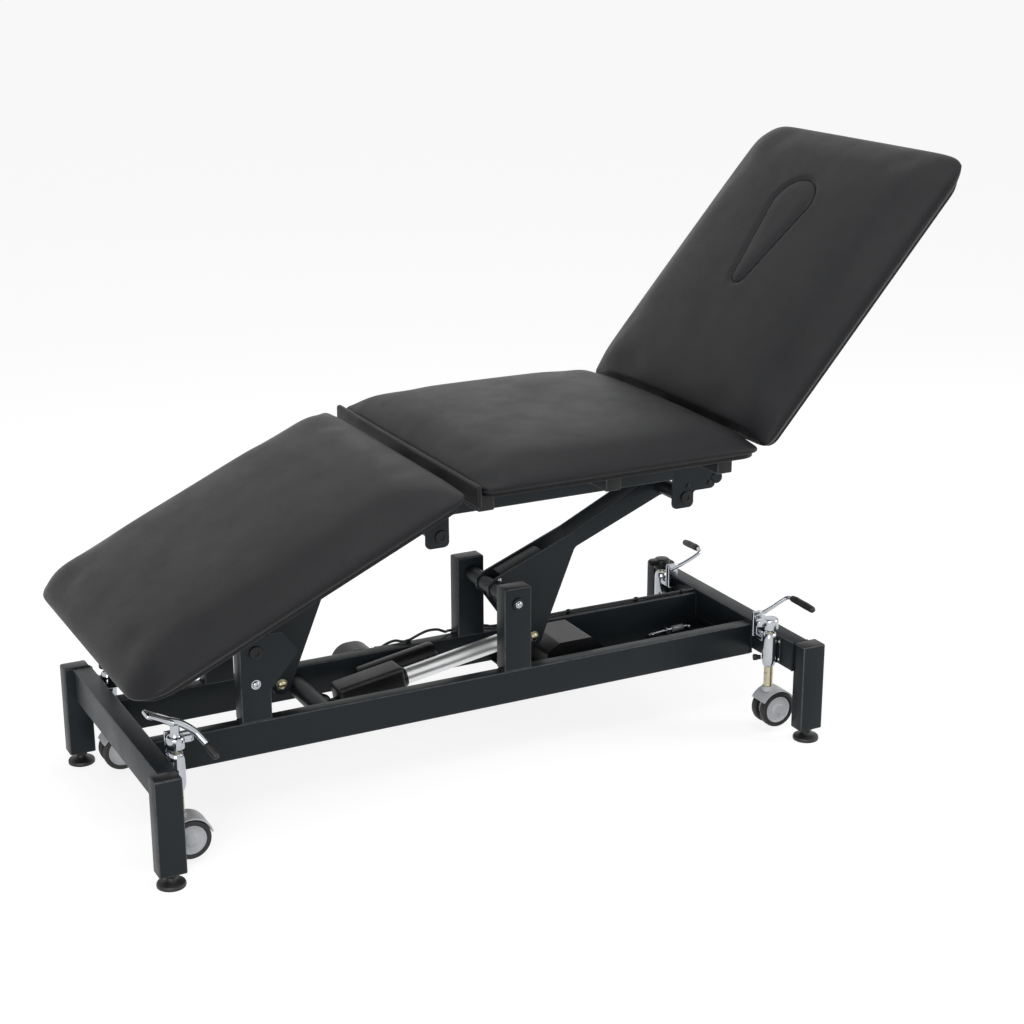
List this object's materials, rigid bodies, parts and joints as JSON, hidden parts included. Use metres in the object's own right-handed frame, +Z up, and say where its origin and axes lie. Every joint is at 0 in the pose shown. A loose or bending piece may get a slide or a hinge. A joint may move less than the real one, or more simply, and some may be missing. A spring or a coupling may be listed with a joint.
{
  "type": "treatment table",
  "caption": "Height-adjustable treatment table with seat, back and leg sections, a face opening with plug, parallel lift arms, electric actuator and lever-operated castors.",
  "frame": {"origin": "on the floor under the middle of the table's overall length and width", "axes": "+X along the table from the leg section to the back section, +Y across it, away from the picture's viewpoint, +Z up"},
  "size_m": [1.796, 0.7, 1.2403],
  "materials": {
    "powder_coat": "satin black powder coat",
    "black_pins": "black oxide, satin",
    "black_plastic": "moulded black plastic with a soft sheen",
    "cable_jacket": "smooth black cable jacket",
    "pedal_rubber": "ribbed black rubber",
    "feet_rubber": "matte black rubber",
    "vinyl": "charcoal upholstery vinyl with a fine grain",
    "satin_aluminium": "satin",
    "bright_steel": "ground steel",
    "chrome": "bright chrome plate",
    "zinc_plate": "yellow zinc plate",
    "grey_plastic": "light grey moulded plastic",
    "castor_tyre": "black polyurethane tread"
  },
  "bodies": {
    "base": {"base_end_frame_foot": "powder_coat", "base_end_frame_head": "powder_coat", "base_rail_near": "powder_coat", "base_rail_far": "powder_coat", "upright_foot_near": "powder_coat", "upright_foot_far": "powder_coat", "upright_head_near": "powder_coat", "upright_head_far": "powder_coat", "pivot_pin_foot_low": "black_pins", "pivot_pin_head_low": "black_pins", "pivot_cheek": "powder_coat", "actuator_cross_tube": "powder_coat", "tray": "powder_coat", "control_box": "black_plastic", "rail_cable": "cable_jacket", "foot_switch_hood": "black_plastic", "castor_housing_foot_near": "chrome", "castor_housing_foot_far": "chrome", "castor_housing_head_near": "chrome", "castor_housing_head_far": "chrome"},
    "foot_arm": {"lift_arm_foot": "powder_coat"},
    "head_arm": {"lift_arm_head": "powder_coat"},
    "top": {"seat_frame": "powder_coat", "cushion_seat": "vinyl", "hinge_cover_strip": "vinyl", "gas_spring_cylinder_leg": "black_pins", "gas_spring_cylinder_back": "black_pins", "pivot_pin_foot_high": "black_pins", "pivot_pin_head_high": "black_pins"},
    "leg_section": {"leg_frame": "powder_coat", "cushion_leg": "vinyl"},
    "back_section": {"back_frame": "powder_coat", "cushion_back": "vinyl"},
    "plug": {"face_plug": "vinyl"},
    "leg_spring_rod": {"gas_spring_rod_leg": "bright_steel"},
    "back_spring_rod": {"gas_spring_rod_back": "bright_steel"},
    "actuator": {"actuator_gearbox": "black_plastic", "actuator_tube": "satin_aluminium"},
    "actuator_piston": {"actuator_rod": "bright_steel"},
    "pedal": {"foot_switch_pedal": "pedal_rubber"},
    "levelling_foot_foot_near_body": {"levelling_foot_foot_near": "feet_rubber"},
    "lever_foot_near": {"castor_lever_foot_near": "chrome"},
    "stem_foot_near": {"castor_stem_foot_near": "zinc_plate"},
    "fork_foot_near": {"castor_fork_foot_near": "grey_plastic"},
    "wheels_foot_near": {"castor_wheels_foot_near": "castor_tyre"},
    "levelling_foot_foot_far_body": {"levelling_foot_foot_far": "feet_rubber"},
    "lever_foot_far": {"castor_lever_foot_far": "chrome"},
    "stem_foot_far": {"castor_stem_foot_far": "zinc_plate"},
    "fork_foot_far": {"castor_fork_foot_far": "grey_plastic"},
    "wheels_foot_far": {"castor_wheels_foot_far": "castor_tyre"},
    "levelling_foot_head_near_body": {"levelling_foot_head_near": "feet_rubber"},
    "lever_head_near": {"castor_lever_head_near": "chrome"},
    "stem_head_near": {"castor_stem_head_near": "zinc_plate"},
    "fork_head_near": {"castor_fork_head_near": "grey_plastic"},
    "wheels_head_near": {"castor_wheels_head_near": "castor_tyre"},
    "levelling_foot_head_far_body": {"levelling_foot_head_far": "feet_rubber"},
    "lever_head_far": {"castor_lever_head_far": "chrome"},
    "stem_head_far": {"castor_stem_head_far": "zinc_plate"},
    "fork_head_far": {"castor_fork_head_far": "grey_plastic"},
    "wheels_head_far": {"castor_wheels_head_far": "castor_tyre"}
  },
  "joints": [
    {"name": "lift", "type": "hinge", "parent": "base", "child": "head_arm", "pos_m": [-0.022, 0, 0.36], "axis": [0, -1, 0], "range_deg": [-6, 33]},
    {"name": "foot_arm_swing", "type": "hinge", "parent": "base", "child": "foot_arm", "pos_m": [-0.598, 0, 0.36], "axis": [0, -1, 0], "range_deg": [-6, 33]},
    {"name": "top_level", "type": "hinge", "parent": "head_arm", "child": "top", "pos_m": [0.378, 0, 0.535], "axis": [0, -1, 0], "range_deg": [-33, 6]},
    {"name": "actuator_tilt", "type": "hinge", "parent": "base", "child": "actuator", "pos_m": [-0.4, 0, 0.162], "axis": [0, -1, 0], "range_deg": [-1.3, 6.2]},
    {"name": "actuator_stroke", "type": "slide", "parent": "actuator", "child": "actuator_piston", "axis": [0.987, 0, 0.1606], "range_m": [-0.013, 0.068]},
    {"name": "back_tilt", "type": "hinge", "parent": "top", "child": "back_section", "pos_m": [0.44, 0, 0.664], "axis": [0, -1, 0], "range_deg": [-48.9, 17.1]},
    {"name": "back_spring_stroke", "type": "slide", "parent": "top", "child": "back_spring_rod", "axis": [1, 0, 0], "range_m": [-0.0489, 0.0174]},
    {"name": "leg_tilt", "type": "hinge", "parent": "top", "child": "leg_section", "pos_m": [-0.215, 0, 0.64], "axis": [0, 1, 0], "range_deg": [0, 34.5]},
    {"name": "leg_spring_stroke", "type": "slide", "parent": "top", "child": "leg_spring_rod", "axis": [-1, 0, 0], "range_m": [0, 0.0242]},
    {"name": "plug_lift", "type": "slide", "parent": "back_section", "child": "plug", "axis": [-0.7536, 0, 0.6574], "range_m": [0, 0.12]},
    {"name": "pedal_press", "type": "hinge", "parent": "base", "child": "pedal", "pos_m": [0.165, 0, 0.1643], "axis": [0, 1, 0], "range_deg": [0, 7], "stiffness_Nm_per_rad": 2, "springref_deg": -5.73},
    {"name": "castor_lever_foot_near", "type": "hinge", "parent": "base", "child": "lever_foot_near", "pos_m": [-0.7945, -0.225, 0.245], "axis": [0, -1, 0], "range_deg": [0, 25]},
    {"name": "castor_drop_foot_near", "type": "slide", "parent": "base", "child": "stem_foot_near", "axis": [0, 0, -1], "range_m": [0, 0.0185]},
    {"name": "castor_swivel_foot_near", "type": "hinge", "parent": "stem_foot_near", "child": "fork_foot_near", "pos_m": [-0.7945, -0.225, 0.105], "axis": [0, 0, 1], "continuous": true},
    {"name": "castor_roll_foot_near", "type": "hinge", "parent": "fork_foot_near", "child": "wheels_foot_near", "pos_m": [-0.7805, -0.225, 0.052], "axis": [0, 1, 0], "continuous": true},
    {"name": "levelling_turn_foot_near", "type": "hinge", "parent": "base", "child": "levelling_foot_foot_near_body", "pos_m": [-0.8425, -0.306, 0.01], "axis": [0, 0, 1], "continuous": true},
    {"name": "castor_lever_foot_far", "type": "hinge", "parent": "base", "child": "lever_foot_far", "pos_m": [-0.7945, 0.225, 0.245], "axis": [0, -1, 0], "range_deg": [0, 25]},
    {"name": "castor_drop_foot_far", "type": "slide", "parent": "base", "child": "stem_foot_far", "axis": [0, 0, -1], "range_m": [0, 0.0185]},
    {"name": "castor_swivel_foot_far", "type": "hinge", "parent": "stem_foot_far", "child": "fork_foot_far", "pos_m": [-0.7945, 0.225, 0.105], "axis": [0, 0, 1], "continuous": true},
    {"name": "castor_roll_foot_far", "type": "hinge", "parent": "fork_foot_far", "child": "wheels_foot_far", "pos_m": [-0.7805, 0.225, 0.052], "axis": [0, 1, 0], "continuous": true},
    {"name": "levelling_turn_foot_far", "type": "hinge", "parent": "base", "child": "levelling_foot_foot_far_body", "pos_m": [-0.8425, 0.306, 0.01], "axis": [0, 0, 1], "continuous": true},
    {"name": "castor_lever_head_near", "type": "hinge", "parent": "base", "child": "lever_head_near", "pos_m": [0.5445, -0.225, 0.245], "axis": [0, 1, 0], "range_deg": [0, 25]},
    {"name": "castor_drop_head_near", "type": "slide", "parent": "base", "child": "stem_head_near", "axis": [0, 0, -1], "range_m": [0, 0.0185]},
    {"name": "castor_swivel_head_near", "type": "hinge", "parent": "stem_head_near", "child": "fork_head_near", "pos_m": [0.5445, -0.225, 0.105], "axis": [0, 0, 1], "continuous": true},
    {"name": "castor_roll_head_near", "type": "hinge", "parent": "fork_head_near", "child": "wheels_head_near", "pos_m": [0.5585, -0.225, 0.052], "axis": [0, 1, 0], "continuous": true},
    {"name": "levelling_turn_head_near", "type": "hinge", "parent": "base", "child": "levelling_foot_head_near_body", "pos_m": [0.5925, -0.306, 0.01], "axis": [0, 0, 1], "continuous": true},
    {"name": "castor_lever_head_far", "type": "hinge", "parent": "base", "child": "lever_head_far", "pos_m": [0.5445, 0.225, 0.245], "axis": [0, 1, 0], "range_deg": [0, 25]},
    {"name": "castor_drop_head_far", "type": "slide", "parent": "base", "child": "stem_head_far", "axis": [0, 0, -1], "range_m": [0, 0.0185]},
    {"name": "castor_swivel_head_far", "type": "hinge", "parent": "stem_head_far", "child": "fork_head_far", "pos_m": [0.5445, 0.225, 0.105], "axis": [0, 0, 1], "continuous": true},
    {"name": "castor_roll_head_far", "type": "hinge", "parent": "fork_head_far", "child": "wheels_head_far", "pos_m": [0.5585, 0.225, 0.052], "axis": [0, 1, 0], "continuous": true},
    {"name": "levelling_turn_head_far", "type": "hinge", "parent": "base", "child": "levelling_foot_head_far_body", "pos_m": [0.5925, 0.306, 0.01], "axis": [0, 0, 1], "continuous": true}
  ],
  "couplings": [
    {"joint": "foot_arm_swing", "follows": "lift", "ratio": 1},
    {"joint": "top_level", "follows": "lift", "ratio": -1},
    {"joint": "actuator_tilt", "follows": "lift", "ratio": 0.18},
    {"joint": "actuator_stroke", "follows": "lift", "m_per_rad": 0.117},
    {"joint": "back_spring_stroke", "follows": "back_tilt", "m_per_rad": 0.0567},
    {"joint": "leg_spring_stroke", "follows": "leg_tilt", "m_per_rad": 0.0394},
    {"joint": "castor_drop_foot_near", "follows": "castor_lever_foot_near", "m_per_rad": 0.04126},
    {"joint": "castor_drop_foot_far", "follows": "castor_lever_foot_far", "m_per_rad": 0.04126},
    {"joint": "castor_drop_head_near", "follows": "castor_lever_head_near", "m_per_rad": 0.04126},
    {"joint": "castor_drop_head_far", "follows": "castor_lever_head_far", "m_per_rad": 0.04126}
  ]
}
